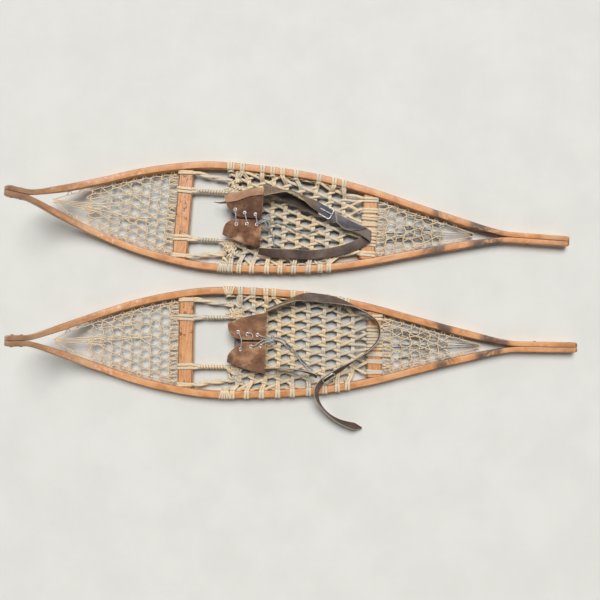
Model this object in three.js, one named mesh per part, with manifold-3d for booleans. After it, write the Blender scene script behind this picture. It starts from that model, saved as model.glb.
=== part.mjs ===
// A pair of bent-wood trail snowshoes with leather toe bindings, laid out on the ground side by side.
// Millimetres. The pair's frame: +Z up, +X from the toes towards the tails, +Y towards the right shoe,
// origin on the ground under the middle of the pair.
// Each shoe is built in its own frame: x forward from the tail's tip, y to the left, z up from the ground.
import * as THREE from "three";
import { mergeVertices } from "three/addons/utils/BufferGeometryUtils.js";
import Module from "manifold-3d";

const wasm = await Module();
wasm.setup();

// ---- Driving dimensions ---------------------------------------------------------------------------
const LENGTH = 1524; // along the bent wood, from tail tip to toe tip
const RAIL_WIDTH = 20; // across the shoe, at mid length
const TIP_WIDTH = 14; // of one rail where the two run side by side
const RAIL_HEIGHT = 20;
const MID = 13; // height of the rails' middle: the lashings under the wood hold it off the ground
const GAP = 0.3; // between parts that touch
const CURL = { start: 1234, radius: 260, angle: THREE.MathUtils.degToRad(48) }; // upturned toe
const OUTLINE = [
  // [distance forward of the tail's tip, half the shoe's width over the rails]
  [0, 14], [130, 14], [182, 16], [300, 43], [430, 76], [560, 110], [700, 136], [860, 148],
  [1000, 149], [1100, 135], [1200, 112], [1300, 79], [1390, 44], [1450, 20], [1475, 14], [LENGTH, 14],
];
const CROSSBAR = { width: 41, height: 10, tenon: 10, front: 1060, rear: 548 };
const RIVETS = { shank: 2, head: 4, height: 1.6, clearance: 0.4, tail: 112, toeRear: 1487, toeFront: 1509 };
const WRAP = { thick: 2.5, clearance: 0.5, length: 15 }; // rawhide wound round the rails
const TOE_CORD = { x: 920, radius: 6, sideCord: 66, sideStrand: 108 };
const WEBBING = { from: 570, to: 908, height: 8, pitchX: 72, pitchY: 62, holeX: 54, holeY: 42 };
const TOE_NET = { from: 1085, to: 1425, height: 3, pitchX: 66, pitchY: 64, holeX: 50, holeY: 44 };
const TAIL_NET = { from: 252, to: 522, height: 3, pitchX: 62, pitchY: 56, holeX: 46, holeY: 40 };
const LEATHER = 2.5;
const SOLE = { rear: 848, halfWidth: 58, loopHalf: 38, clearance: 0.8 };
const FLAP = { rear: 841, front: 945, roundness: 45, taper: 0.42 };
// From the sole's edge out, over and in to the seam: [out, up].
const FLAP_SECTION = [
  [60, 25], [75, 27.5], [80, 32.5], [74, 38], [58, 41], [36, 43], [18, 43], [0, 43],
];
const FLAP_TOP = 43; // middle of the leather over the instep
const EYELET = { hole: 2.6, barrel: 3.3, flange: 5, lip: 1, opening: 3.8 };
const LACE = { radius: 1.6, over: 47.6, under: 39.1, knot: [832, -7, 40], knotRadius: 5 };
const STRAP = { width: 25, thick: 3 };
const FOLD = { x: 547, radius: 4, height: 23.5 }; // where the right heel strap doubles back on itself
const BUCKLE = { length: 38, width: 33, wire: 3.5, thick: 3.5, prong: 3 };

// ---- What differs between the two shoes -----------------------------------------------------------
// Places in a binding are [forward of the tail's tip, outboard of the middle, up], and a strap's route
// adds its roll in degrees: 0 lies flat, 90 stands on edge.
const RIGHT = {
  name: "right",
  outboard: -1,
  tail: [736, 231], // where the shoe's tail tip lies on the ground, before the pair is centred
  turn: -4.18, // degrees
  wraps: [
    [625, 652, 695, 758, 796, 823, 851, 884, 938],
    [651, 674, 706, 746, 783, 819, 860, 895, 937],
  ],
  eyelets: [[[914, 16], [888, 9], [859, 7]], [[908, -23], [880, -20], [853, -20]]],
  heelStrap: [
    [838, -90, 35, -50], [800, -92, 31, -25], [755, -90, 26.5, -5], [693, -87, 24, 0], [628, -72, 23.5, 0],
    [572, -48, 23.5, 0], [551, -35, 23.5, 0], [531, -23, 23.5, 0], [519, -16, 23.5, 0], [494, -6, 23.5, 0],
    [464, 6, 23.5, 0], [438, 18, 23.5, 0], [412, 30, 23.5, 0], [385, 44, 23.5, 0], [374, 49, 19, -18],
    [362, 55, 14, -40], [350, 61, 11, -56], [336, 68, 9, -66], [313, 76, 8, -66], [294, 75.5, 8, -66],
    [269, 71, 9, -60], [245, 66, 10, -45],
  ],
  fold: FOLD,
  buckleStrap: [
    [838, 78, 33, 0], [820, 78, 30, 0], [800, 74, 28, 0], [782, 66, 27.5, 0], [746, 50, 27.5, 0],
    [712, 38, 27.5, 0], [690, 30, 27.5, 0],
  ],
  buckle: { at: [669, 30, 35.5], heading: 25, roll: 0 },
  laceEnds: [
    [[827, -4, 36], [814, -4, 24], [797, -7, 19.3], [777, -10, 19.3], [764, -17, 19.3], [749, -24, 19.3],
      [732, -28, 19.3], [714, -28, 19.3], [696, -21, 19.3], [672, -12, 19.3]],
    [[828, -14, 36], [821, -25, 24], [814, -36, 19.3], [808, -48, 19.3], [805, -62, 19.3], [803, -75, 19.3]],
  ],
};
const LEFT = {
  name: "left",
  outboard: 1,
  tail: [750, -58],
  turn: -0.83,
  wraps: [
    [621, 648, 682, 725, 769, 808, 852, 892, 945],
    [624, 643, 677, 735, 771, 796, 823, 845, 884, 945],
  ],
  eyelets: [[[908, 17], [881, 9], [854, 7]], [[916, -29], [891, -24], [864, -22]]],
  heelStrap: [
    [838, -88, 36, -55], [803, -105, 35, -45], [765, -120, 33, -22], [730, -126, 31, -5],
    [697, -123, 32, -15], [665, -119, 35.5, -35], [632, -111, 38, -60], [608, -103, 40, -80],
    [583, -91, 39, -88], [559, -76, 37, -90], [542, -59, 36, -90], [536, -36, 35, -90], [540, -14, 35, -90],
    [553, 4, 35, -90], [574, 22, 36, -88], [614, 49, 38, -75], [641, 66, 40, -58], [674, 86.5, 40.3, -55],
    [690, 99, 40.3, -53], [701, 115, 39.5, -52], [705, 131, 37, -60], [702, 146, 33.5, -70],
    [695, 161, 27, -78], [683, 178, 20, -82], [663, 196, 15.5, -80], [640, 209, 13.8, -72],
    [612, 219, 11.8, -56], [580, 226, 9, -34],
  ],
  buckleStrap: [
    [838, 72, 35, 60], [800, 67, 35, 84], [751, 71, 39, 80], [721, 78, 44, 72], [704, 86, 47, 66],
  ],
  buckle: { at: [671, 91, 44], heading: 33, roll: -55 },
  laceEnds: [
    [[827, -5, 36], [815, -8, 24], [801, -4, 19.3], [786, 8, 19.3], [771, 21, 19.3], [748, 47, 19.3],
      [722, 76, 19.3]],
    [[828, -14, 36], [814, -16, 24], [797, -12, 19.3], [782, 2, 19.3], [768, 16, 19.3], [744, 42, 19.3],
      [715, 71, 19.3]],
  ],
};

// ---- Materials ------------------------------------------------------------------------------------
const matte = (color, roughness) => new THREE.MeshStandardMaterial({ color, roughness, metalness: 0 });
const ash = matte(0xc68a57, 0.5);
const babiche = matte(0xc9ba97, 0.65);
const rawhide = matte(0xd2bf98, 0.6);
const suede = matte(0x7d5238, 0.85);
const strapLeather = matte(0x4b403a, 0.6);
const cotton = matte(0x8f9294, 0.9);
const steel = new THREE.MeshStandardMaterial({ color: 0xb9b7b0, roughness: 0.35, metalness: 1 });

// ---- Geometry helpers -----------------------------------------------------------------------------
const v2 = (p) => new THREE.Vector2(...p);
const v3 = (p) => new THREE.Vector3(...p);
const lerp = THREE.MathUtils.lerp;
const rad = THREE.MathUtils.degToRad;

// The same surface with only positions, its shared corners merged.
function welded(geometry) {
  const bare = geometry.index ? geometry.toNonIndexed() : geometry.clone();
  bare.deleteAttribute("normal");
  bare.deleteAttribute("uv");
  return mergeVertices(bare, 1e-3);
}

function solidOf(geometry) {
  const { attributes, index } = welded(geometry);
  return new wasm.Manifold(
    new wasm.Mesh({
      numProp: 3,
      vertProperties: attributes.position.array,
      triVerts: new Uint32Array(index.array),
    }),
  );
}

function geometryOf(solid) {
  const mesh = solid.getMesh();
  return new THREE.BufferGeometry()
    .setAttribute("position", new THREE.BufferAttribute(mesh.vertProperties, 3))
    .setIndex(new THREE.BufferAttribute(mesh.triVerts, 1));
}

const join = (...parts) => geometryOf(parts.map(solidOf).reduce((a, b) => a.add(b)));
const cut = (body, ...tools) => geometryOf(tools.map(solidOf).reduce((a, b) => a.subtract(b), solidOf(body)));

// Moves every corner of a geometry: place(x, y, z) gives its new point.
function reshape(geometry, place) {
  const at = geometry.attributes.position;
  for (let i = 0; i < at.count; i++) at.setXYZ(i, ...place(at.getX(i), at.getY(i), at.getZ(i)));
  return geometry;
}

// The other side's copy, across the shoe's middle. Reversing the corners keeps its faces outward.
function mirrored(geometry) {
  const copy = reshape(welded(geometry), (x, y, z) => [x, -y, z]);
  return copy.setIndex(Array.from(copy.index.array).reverse());
}

// A box between two corners.
function box([x0, y0, z0], [x1, y1, z1]) {
  const solid = new THREE.BoxGeometry(x1 - x0, y1 - y0, z1 - z0);
  return solid.translate((x0 + x1) / 2, (y0 + y1) / 2, (z0 + z1) / 2);
}

// A flat rectangular ring in the x-y plane.
function rectangleRing(inner, outer, height) {
  const corners = ([w, h]) => [[-w, -h], [w, -h], [w, h], [-w, h]].map(([a, b]) => v2([a / 2, b / 2]));
  const shape = new THREE.Shape(corners(outer));
  shape.holes.push(new THREE.Path(corners(inner)));
  const solid = new THREE.ExtrudeGeometry(shape, { depth: height, bevelEnabled: false });
  return solid.translate(0, 0, -height / 2);
}

// The same ring standing across the x axis.
const standingRing = (inner, outer, length) =>
  reshape(rectangleRing(inner, outer, length), (a, b, c) => [c, a, b]);

// A straight round rod between two points, run on past both by a little where it joins others.
function rod(from, to, radius, sides, past = 0) {
  const [a, b] = [v3(from), v3(to)];
  const way = b.clone().sub(a);
  const turn = new THREE.Quaternion().setFromUnitVectors(new THREE.Vector3(0, 1, 0), way.clone().normalize());
  const straight = new THREE.CylinderGeometry(radius, radius, way.length() + 2 * past, sides);
  return straight.applyQuaternion(turn).translate(...a.add(b).multiplyScalar(0.5));
}

// ---- The shoe's outline and its upturned toe ------------------------------------------------------
const outlinePoints = OUTLINE.map(([x, half]) => v3([x, half, 0]));
const outlineCurve = new THREE.CatmullRomCurve3(outlinePoints, false, "centripetal");
const outline = outlineCurve.getPoints(480);
const smooth = THREE.MathUtils.smoothstep;

// Half the shoe's width over the rails, at a distance forward of the tail's tip.
function halfWidth(x) {
  const next = outline.findIndex((p) => p.x >= x);
  if (next <= 0) return TIP_WIDTH;
  const [a, b] = [outline[next - 1], outline[next]];
  return Math.max(TIP_WIDTH, lerp(a.y, b.y, (x - a.x) / (b.x - a.x)));
}
const railWidth = (x) =>
  TIP_WIDTH + (RAIL_WIDTH - TIP_WIDTH) * smooth(x, 170, 320) * (1 - smooth(x, 1370, 1465));
const railMiddle = (x) => halfWidth(x) - railWidth(x) / 2 + GAP / 2;
const railInside = (x) => halfWidth(x) - railWidth(x) + GAP / 2;
const railSlope = (x) => (railMiddle(x + 2) - railMiddle(x - 2)) / 4;

// Bends a point of the flat shoe up with the toe.
function curl(x, y, z) {
  const along = x - CURL.start;
  if (along <= 0) return [x, y, z];
  const turned = Math.min(along / CURL.radius, CURL.angle);
  const beyond = Math.max(0, along - CURL.radius * CURL.angle);
  const reach = CURL.radius - (z - MID);
  return [
    CURL.start + reach * Math.sin(turned) + beyond * Math.cos(turned),
    y,
    MID + CURL.radius - reach * Math.cos(turned) + beyond * Math.sin(turned),
  ];
}

// ---- Wooden frame ---------------------------------------------------------------------------------
function rail() {
  const bar = new THREE.BoxGeometry(1, 1, 1, 34, 1, 1);
  reshape(bar, (t, side, up) => {
    const x = (t + 0.5) * LENGTH;
    const slope = railSlope(THREE.MathUtils.clamp(x, 4, LENGTH - 4));
    const tilt = Math.hypot(1, slope);
    const out = side * railWidth(x);
    return curl(x - (out * slope) / tilt, railMiddle(x) + out / tilt, MID + up * RAIL_HEIGHT);
  });
  const mortises = [CROSSBAR.front, CROSSBAR.rear].map((x) => crossbar(x, GAP));
  const holes = [RIVETS.tail, RIVETS.toeRear, RIVETS.toeFront].map(rivetHole);
  return cut(bar, ...mortises, ...holes);
}

function crossbar(x, clearance = 0) {
  const reach = railInside(x) + CROSSBAR.tenon + clearance;
  const half = CROSSBAR.width / 2 + clearance;
  const high = CROSSBAR.height / 2 + clearance;
  return box([x - half, -reach, MID - high], [x + half, reach, MID + high]);
}

function rivetHole(x) {
  const radius = RIVETS.shank + RIVETS.clearance;
  return reshape(new THREE.CylinderGeometry(radius, radius, 60, 6).translate(x, 0, MID), curl);
}

function rivet(x) {
  const seat = TIP_WIDTH + GAP + GAP;
  const end = seat + RIVETS.height;
  const half = [[0, -end], [RIVETS.head, -end], [RIVETS.head, -seat], [RIVETS.shank, -seat]];
  const profile = [...half, ...half.map(([r, y]) => [r, -y]).reverse()];
  return reshape(new THREE.LatheGeometry(profile.map(v2), 6).translate(x, 0, MID), curl);
}

// ---- Rawhide lacing -------------------------------------------------------------------------------
// A net as a plate with lozenge openings: rows every pitchX, each row staggered by half of pitchY.
function net({ from, to, height, pitchX, pitchY, holeX, holeY }) {
  const edge = (x) => Math.max(railInside(x) - 4, 1.5);
  const margin = 5;
  const steps = 10;
  const along = Array.from({ length: steps + 1 }, (_, i) => lerp(from, to, i / steps));
  const side = along.map((x) => [x, edge(x)]);
  const around = [...side.map(([x, y]) => [x, -y]), ...side.reverse()];
  const shape = new THREE.Shape(around.map(v2));
  const first = from + margin + holeX / 2;
  for (let row = 0; first + row * pitchX + holeX / 2 + margin < to; row++) {
    const x = first + row * pitchX;
    const room = Math.min(edge(x - holeX / 2), edge(x + holeX / 2)) - margin - holeY / 2;
    for (let y = (row % 2 ? pitchY / 2 : 0) - pitchY * 3; y <= room; y += pitchY) {
      if (y < -room) continue;
      const corners = [[x - holeX / 2, y], [x, y - holeY / 2], [x + holeX / 2, y], [x, y + holeY / 2]];
      shape.holes.push(new THREE.Path(corners.map(v2)));
    }
  }
  const plate = new THREE.ExtrudeGeometry(shape, { depth: height, bevelEnabled: false });
  return reshape(plate.translate(0, 0, MID - height / 2), curl);
}

// Rawhide wound once round the outboard rail at x.
function railWrap(x) {
  const inner = [railWidth(x) + 2 * WRAP.clearance, RAIL_HEIGHT + 2 * WRAP.clearance];
  const outer = inner.map((size) => size + 2 * WRAP.thick);
  const ring = standingRing(inner, outer, WRAP.length);
  return ring.rotateZ(Math.atan(railSlope(x))).translate(x, railMiddle(x), MID);
}

// The wraps along one rail, joined by the strand that runs inside it.
function railWraps(places) {
  const [from, to] = [places[0], places[places.length - 1]];
  const strand = reshape(new THREE.BoxGeometry(1, WRAP.thick, WEBBING.height, 8, 1, 1), (t, across, up) => {
    const x = lerp(from, to, t + 0.5);
    return [x, railInside(x) - WRAP.clearance - WRAP.thick / 2 + across, MID + up];
  });
  return join(strand, ...places.map(railWrap));
}

// Rawhide looped round a crossbar at y.
function barLoop(x, y, width) {
  const inner = [CROSSBAR.width + 2 * GAP, CROSSBAR.height + 2 * GAP];
  const outer = [inner[0] + 5, inner[1] + 4.4];
  return reshape(standingRing(inner, outer, width), (a, b, c) => [b, -a, c]).translate(x, y, MID);
}

function centreWebbing() {
  const loops = [-1, 0, 1].map((i) => barLoop(CROSSBAR.rear, i * WEBBING.pitchY * 0.8, 12));
  return join(net(WEBBING), ...loops);
}

// The cord that the binding turns on, with the cords and strands that run from it to the front crossbar.
function toeCord() {
  const { x, radius, sideCord, sideStrand } = TOE_CORD;
  const front = CROSSBAR.front - CROSSBAR.width / 2 - GAP - 1;
  const reach = railInside(x) - WRAP.clearance - WRAP.thick - GAP - 0.5;
  const wound = (y) => rod([x, y, MID], [front, y, MID], radius, 8);
  const flat = (y) => box([x, y - 4, MID - 2.5], [front, y + 4, MID + 2.5]);
  const across = rod([x, -reach, MID], [x, reach, MID], radius, 10);
  const loop = (y, width) => barLoop(CROSSBAR.front, y, width);
  const half = [wound(sideCord), flat(sideStrand), loop(sideCord, 14), loop(sideStrand, 8)];
  return join(across, ...half, ...half.map(mirrored));
}

// ---- Toe binding ----------------------------------------------------------------------------------
// The leather under the boot's toe, with the loop that turns on the toe cord.
function sole() {
  const inside = TOE_CORD.radius + SOLE.clearance;
  const top = MID + inside + LEATHER;
  const { halfWidth: half, loopHalf } = SOLE;
  const plate = box([SOLE.rear, -half, top - LEATHER], [TOE_CORD.x - 2, half, top]);
  const outside = inside + LEATHER;
  const profile = [[inside, -loopHalf], [outside, -loopHalf], [outside, loopHalf], [inside, loopHalf]];
  const loop = new THREE.LatheGeometry([...profile, profile[0]].map(v2), 12).translate(TOE_CORD.x, 0, MID);
  const clear = new THREE.CylinderGeometry(inside, inside, 4 * loopHalf, 12).translate(TOE_CORD.x, 0, MID);
  return cut(join(plate, loop), clear);
}

// Leather that rises from the sole's edge, turns over and runs in across the instep, as far as the seam.
function flap(seam, eyelets) {
  const section = new THREE.SplineCurve([...FLAP_SECTION.slice(0, -1), [seam, FLAP_TOP]].map(v2));
  const sheet = new THREE.BoxGeometry(1, 1, LEATHER, 4, 10, 1);
  reshape(sheet, (along, across, through) => {
    const share = 0.5 - across; // 0 at the sole, 1 at the seam
    const fore = along + 0.5;
    const at = section.getPoint(share);
    const way = section.getTangent(share);
    const front = FLAP.front - FLAP.roundness * share ** 6;
    const inward = 1 - FLAP.taper * fore ** 1.5 * (1 - share) ** 0.5;
    return [lerp(FLAP.rear, front, fore), (at.x + way.y * through) * inward, at.y - way.x * through];
  });
  const { opening } = EYELET;
  const punch = (x, y) =>
    new THREE.CylinderGeometry(opening, opening, 8, 8).rotateX(Math.PI / 2).translate(x, y, FLAP_TOP);
  return cut(sheet, ...eyelets.map(([x, y]) => punch(x, y)));
}

function eyelet([x, y]) {
  const under = -LEATHER / 2 - GAP;
  const over = LEATHER / 2 + GAP;
  const { hole, barrel, flange, lip } = EYELET;
  const top = over + lip;
  const profile = [[hole, under], [barrel, under], [barrel, over], [flange, over], [flange, top], [hole, top]];
  const turned = new THREE.LatheGeometry([...profile, profile[0]].map(v2), 8);
  return turned.rotateX(Math.PI / 2).translate(x, y, FLAP_TOP);
}

// Over from each outboard eyelet to its inboard one, back under to the next pair, and out to the knot.
function lace([outer, inner]) {
  const { radius, over, under, knot, knotRadius } = LACE;
  const route = outer.flatMap((a, i) => [
    [...a, under], [...a, over], [...inner[i], over], [...inner[i], under],
  ]);
  const ball = new THREE.SphereGeometry(knotRadius, 8, 5).translate(...knot);
  const runs = [...route.slice(1), knot].map((end, i) => rod(route[i], end, radius, 5, radius / 2));
  return join(...runs, ball);
}

function laceEnd(points) {
  const turns = Array.from({ length: 8 }, (_, i) => (i * Math.PI) / 4);
  const section = turns.map((a) => [Math.cos(a), Math.sin(a)]);
  const shape = new THREE.Shape(section.map(([a, b]) => v2([a * LACE.radius, b * LACE.radius])));
  const extrudePath = new THREE.CatmullRomCurve3(points.map(v3), false, "centripetal");
  return new THREE.ExtrudeGeometry(shape, { steps: 14, extrudePath });
}

// ---- Straps and buckles ---------------------------------------------------------------------------
function strap(route, steps) {
  const curve = new THREE.CatmullRomCurve3(route.map(([x, y, z]) => v3([x, y, z])), false, "centripetal");
  const band = new THREE.BoxGeometry(1, STRAP.width, STRAP.thick, steps, 1, 1);
  return reshape(band, (along, across, through) => {
    const t = along + 0.5;
    const spot = Math.min(t * (route.length - 1), route.length - 1.001);
    const i = Math.floor(spot);
    const roll = rad(lerp(route[i][3], route[i + 1][3], spot - i));
    const way = curve.getTangent(t);
    const side = v3([-way.y, way.x, 0]).normalize().applyAxisAngle(way, roll);
    const out = way.clone().cross(side);
    return curve.getPoint(t).addScaledVector(side, across).addScaledVector(out, through).toArray();
  });
}

// Doubles a flat strap back over itself where it crosses the fold's line.
function folded(geometry, fold) {
  return reshape(geometry, (x, y, z) => {
    const past = fold.x - x;
    if (past <= 0) return [x, y, z];
    const turned = Math.min(past / fold.radius, Math.PI);
    const beyond = past - turned * fold.radius;
    const reach = fold.radius - (z - fold.height);
    const up = fold.height + fold.radius - reach * Math.cos(turned);
    return [fold.x - reach * Math.sin(turned) + beyond, y, up];
  });
}

const placed = (geometry, { at, heading, roll }) =>
  geometry.rotateX(rad(roll)).rotateZ(rad(heading)).translate(...at);

function buckleFrame() {
  const outer = [BUCKLE.length, BUCKLE.width];
  return rectangleRing(outer.map((size) => size - 2 * BUCKLE.wire), outer, BUCKLE.thick);
}

// Hinged on the buckle's forward bar, its point resting on the rear one.
function buckleProng() {
  const over = BUCKLE.thick / 2 + GAP;
  const half = BUCKLE.length / 2;
  return box([1 - half, -BUCKLE.prong / 2, over], [half - 1, BUCKLE.prong / 2, over + BUCKLE.prong]);
}

// ---- Assembly -------------------------------------------------------------------------------------
function shoe({ name, outboard, tail, turn, wraps, eyelets, heelStrap, fold, buckleStrap, buckle, laceEnds }) {
  const group = new THREE.Group();
  group.position.set(...tail, 0);
  group.rotation.z = Math.PI + rad(turn);
  // Every piece is shaped with y outboard, and mirrored on the shoe whose outboard side is its right.
  const add = (piece, geometry, material) => {
    const mesh = new THREE.Mesh(outboard > 0 ? geometry : mirrored(geometry), material);
    mesh.name = `${name}_${piece}`;
    group.add(mesh);
  };
  const [outerEyelets, innerEyelets] = eyelets;
  add("outboard_rail", rail(), ash);
  add("inboard_rail", mirrored(rail()), ash);
  add("front_crossbar", crossbar(CROSSBAR.front), ash);
  add("rear_crossbar", crossbar(CROSSBAR.rear), ash);
  add("tail_rivet", rivet(RIVETS.tail), steel);
  add("toe_rear_rivet", rivet(RIVETS.toeRear), steel);
  add("toe_front_rivet", rivet(RIVETS.toeFront), steel);
  add("toe_net", net(TOE_NET), babiche);
  add("tail_net", net(TAIL_NET), babiche);
  add("centre_webbing", centreWebbing(), rawhide);
  add("outboard_rail_wraps", railWraps(wraps[0]), rawhide);
  add("inboard_rail_wraps", mirrored(railWraps(wraps[1])), rawhide);
  add("toe_cord", toeCord(), rawhide);
  add("toe_sole", sole(), suede);
  add("outboard_flap", flap(-3, outerEyelets), suede);
  add("inboard_flap", mirrored(flap(8, innerEyelets.map(([x, y]) => [x, -y]))), suede);
  outerEyelets.forEach((at, i) => add(`outboard_eyelet_${i + 1}`, eyelet(at), steel));
  innerEyelets.forEach((at, i) => add(`inboard_eyelet_${i + 1}`, eyelet(at), steel));
  add("toe_lace", lace(eyelets), cotton);
  laceEnds.forEach((points, i) => add(`lace_end_${i + 1}`, laceEnd(points), cotton));
  const heel = strap(heelStrap, fold ? 48 : 54);
  add("heel_strap", fold ? folded(heel, fold) : heel, strapLeather);
  add("buckle_strap", strap(buckleStrap, 12), strapLeather);
  add("buckle_frame", placed(buckleFrame(), buckle), steel);
  add("buckle_prong", placed(buckleProng(), buckle), steel);
  return group;
}

const pair = new THREE.Group();
pair.add(shoe(RIGHT), shoe(LEFT));
pair.updateMatrixWorld(true);
const extent = new THREE.Box3().setFromObject(pair, true);
pair.position.set(-(extent.min.x + extent.max.x) / 2, -(extent.min.y + extent.max.y) / 2, 0);
export default pair;
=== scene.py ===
"""A pair of old bent-wood snowshoes with woven rawhide decks and leather toe bindings, seen from above.

Each shoe is shaped in millimetres in its own frame, as the CAD is: x forward from the tail's tip, y outboard,
z up from the ground. Shoe.place() takes those points to the pair's frame in metres.
"""
import math
import random

import bpy
import numpy as np
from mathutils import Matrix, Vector


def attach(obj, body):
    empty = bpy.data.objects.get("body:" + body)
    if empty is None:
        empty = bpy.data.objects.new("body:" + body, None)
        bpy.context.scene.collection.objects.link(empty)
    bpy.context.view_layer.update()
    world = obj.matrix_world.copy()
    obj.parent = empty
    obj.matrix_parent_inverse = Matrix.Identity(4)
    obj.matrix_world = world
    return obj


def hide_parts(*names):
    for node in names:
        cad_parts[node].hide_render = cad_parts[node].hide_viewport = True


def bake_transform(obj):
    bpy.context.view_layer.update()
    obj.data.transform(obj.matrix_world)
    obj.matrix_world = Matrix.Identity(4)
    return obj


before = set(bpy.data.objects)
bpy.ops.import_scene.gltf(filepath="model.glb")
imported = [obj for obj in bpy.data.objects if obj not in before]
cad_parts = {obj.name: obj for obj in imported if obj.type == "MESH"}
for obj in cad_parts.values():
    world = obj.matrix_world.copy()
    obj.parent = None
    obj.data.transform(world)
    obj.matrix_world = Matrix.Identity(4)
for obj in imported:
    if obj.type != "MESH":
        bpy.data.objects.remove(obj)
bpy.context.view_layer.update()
rng = random.Random(7)

# ---- The shoes' driving dimensions, in millimetres, as in the CAD ----
LENGTH = 1524
TIP_WIDTH = 14
RAIL_WIDTH = 20
RAIL_HEIGHT = 20
MID = 13  # the height of the frame's middle plane
GAP = 0.3
CURL_START, CURL_RADIUS, CURL_ANGLE = 1234, 260, math.radians(48)
OUTLINE = [(0, 14), (130, 14), (182, 16), (300, 43), (430, 76), (560, 110), (700, 136), (860, 148),
           (1000, 149), (1100, 135), (1200, 112), (1300, 79), (1390, 44), (1450, 20), (1475, 14),
           (LENGTH, 14)]
BAR_WIDTH, BAR_HEIGHT = 41, 10
FRONT_BAR, REAR_BAR = 1060, 548
TOE_CORD = 920
RIVETS = {"tail_rivet": 112, "toe_rear_rivet": 1487, "toe_front_rivet": 1509}
FLAP_TOP = 43
LACE_RADIUS = 1.6
STRAP_WIDTH, STRAP_THICK = 25, 3
FOLD_X, FOLD_RADIUS, FOLD_HEIGHT = 547, 4, 23.5
BUCKLE_LENGTH, BUCKLE_WIDTH, BUCKLE_WIRE = 38, 33, 3.5
CAMERA_HEIGHT, CAMERA_TILT, CAMERA_FOCAL, CAMERA_SENSOR = 1.4746, 2.78, 535.7 / 600, 36


class Shoe:
    """Where one shoe lies, and what differs between the two."""

    def __init__(self, name, outboard, tail, turn, hole_columns, hole_phase, wraps):
        self.name = name
        self.outboard = outboard
        self.tail = tail
        self.turn = math.pi + math.radians(turn)
        self.hole_columns = hole_columns  # where the deck's holes lie along the shoe
        self.hole_phase = hole_phase  # and across it
        self.wraps = wraps  # where the lacing turns round the rails: 1 outboard, -1 inboard

    def place(self, points):
        p = np.asarray(points, float)
        y = p[..., 1] * self.outboard
        c, s = math.cos(self.turn), math.sin(self.turn)
        along, across = p[..., 0] * c - y * s, p[..., 0] * s + y * c
        return np.stack([along / 1000 + self.tail[0], across / 1000 + self.tail[1], p[..., 2] / 1000], -1)

    def node(self, piece):
        return f"{self.name}_{piece}"


RIGHT = Shoe("right", -1, (0.732915, 0.147746), -4.18, [641, 680, 722, 763, 799, 834, 868, 902, 934], 1,
             {1: [938, 907, 851, 823, 796, 758, 695, 652, 625],
              -1: [937, 918, 895, 860, 819, 783, 746, 706, 674, 651]})
LEFT = Shoe("left", 1, (0.746915, -0.141254), -0.83, [626, 665, 707, 750, 790, 825, 860, 895, 930], 12,
            {1: [950, 931, 892, 852, 808, 769, 725, 682, 648, 621],
             -1: [945, 914, 879, 845, 823, 771, 735, 677, 643, 624]})
SHOES = (RIGHT, LEFT)


# ---- Curves ----
def rise(x, low, high):
    """0 below low and 1 above high, smooth between."""
    t = np.clip((np.asarray(x, float) - low) / (high - low), 0, 1)
    return t * t * (3 - 2 * t)


def fall(x, low, high):
    return 1 - rise(x, low, high)


def unit(v):
    return v / np.maximum(np.linalg.norm(v, axis=-1, keepdims=True), 1e-9)


def tangents(path, closed=False):
    if closed:
        return unit(np.roll(path, -1, 0) - np.roll(path, 1, 0))
    return unit(np.gradient(path, axis=0))


def side_and_up(path):
    """At each point of a path: level across it, and square to both."""
    t = tangents(path)
    side = unit(np.cross((0, 0, 1), t))
    return side, np.cross(t, side)


def distances(path):
    """How far along the path each of its points lies."""
    return np.concatenate([[0], np.cumsum(np.linalg.norm(np.diff(path, axis=0), axis=1))])


def spline(points, count):
    """Centripetal Catmull-Rom through the points, `count` samples evenly by segment, ends included."""
    p = np.asarray(points, float)
    p = np.vstack([2 * p[0] - p[1], p, 2 * p[-1] - p[-2]])
    t = np.linspace(0, len(points) - 1, count)
    i = np.minimum(t.astype(int), len(points) - 2)
    w = (t - i)[:, None]
    a, b, c, d = p[i], p[i + 1], p[i + 2], p[i + 3]
    t1, t2, t3 = (np.maximum(np.linalg.norm(v - u, axis=1, keepdims=True), 1e-6) ** 0.5
                  for u, v in ((a, b), (b, c), (c, d)))
    m1 = ((b - a) / t1 - (c - a) / (t1 + t2) + (c - b) / t2) * t2
    m2 = ((c - b) / t2 - (d - b) / (t2 + t3) + (d - c) / t3) * t2
    w2, w3 = w * w, w * w * w
    return (2 * w3 - 3 * w2 + 1) * b + (w3 - 2 * w2 + w) * m1 + (3 * w2 - 2 * w3) * c + (w3 - w2) * m2


def resample(path, spacing):
    """The same line with points a given distance apart."""
    p = np.asarray(path, float)
    s = distances(p)
    at = np.linspace(0, s[-1], max(3, int(s[-1] / spacing) + 1))
    return np.stack([np.interp(at, s, p[:, k]) for k in range(3)], 1)


def course(points, count, spacing):
    return resample(spline(points, count), spacing)


def about(x, y, *steps):
    """A strand's course, in steps from a point in the frame's middle plane."""
    return [(x + dx, y + dy, MID + dz) for dx, dy, dz in steps]


OUTLINE_FINE = spline([(x, y, 0) for x, y in OUTLINE], 1501)


def half_width(x):
    return np.maximum(TIP_WIDTH, np.interp(x, OUTLINE_FINE[:, 0], OUTLINE_FINE[:, 1]))


def rail_width(x):
    return TIP_WIDTH + (RAIL_WIDTH - TIP_WIDTH) * rise(x, 170, 320) * fall(x, 1370, 1465)


def rail_middle(x):
    return half_width(x) - rail_width(x) / 2 + GAP / 2


def rail_inside(x):
    return half_width(x) - rail_width(x) + GAP / 2


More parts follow.
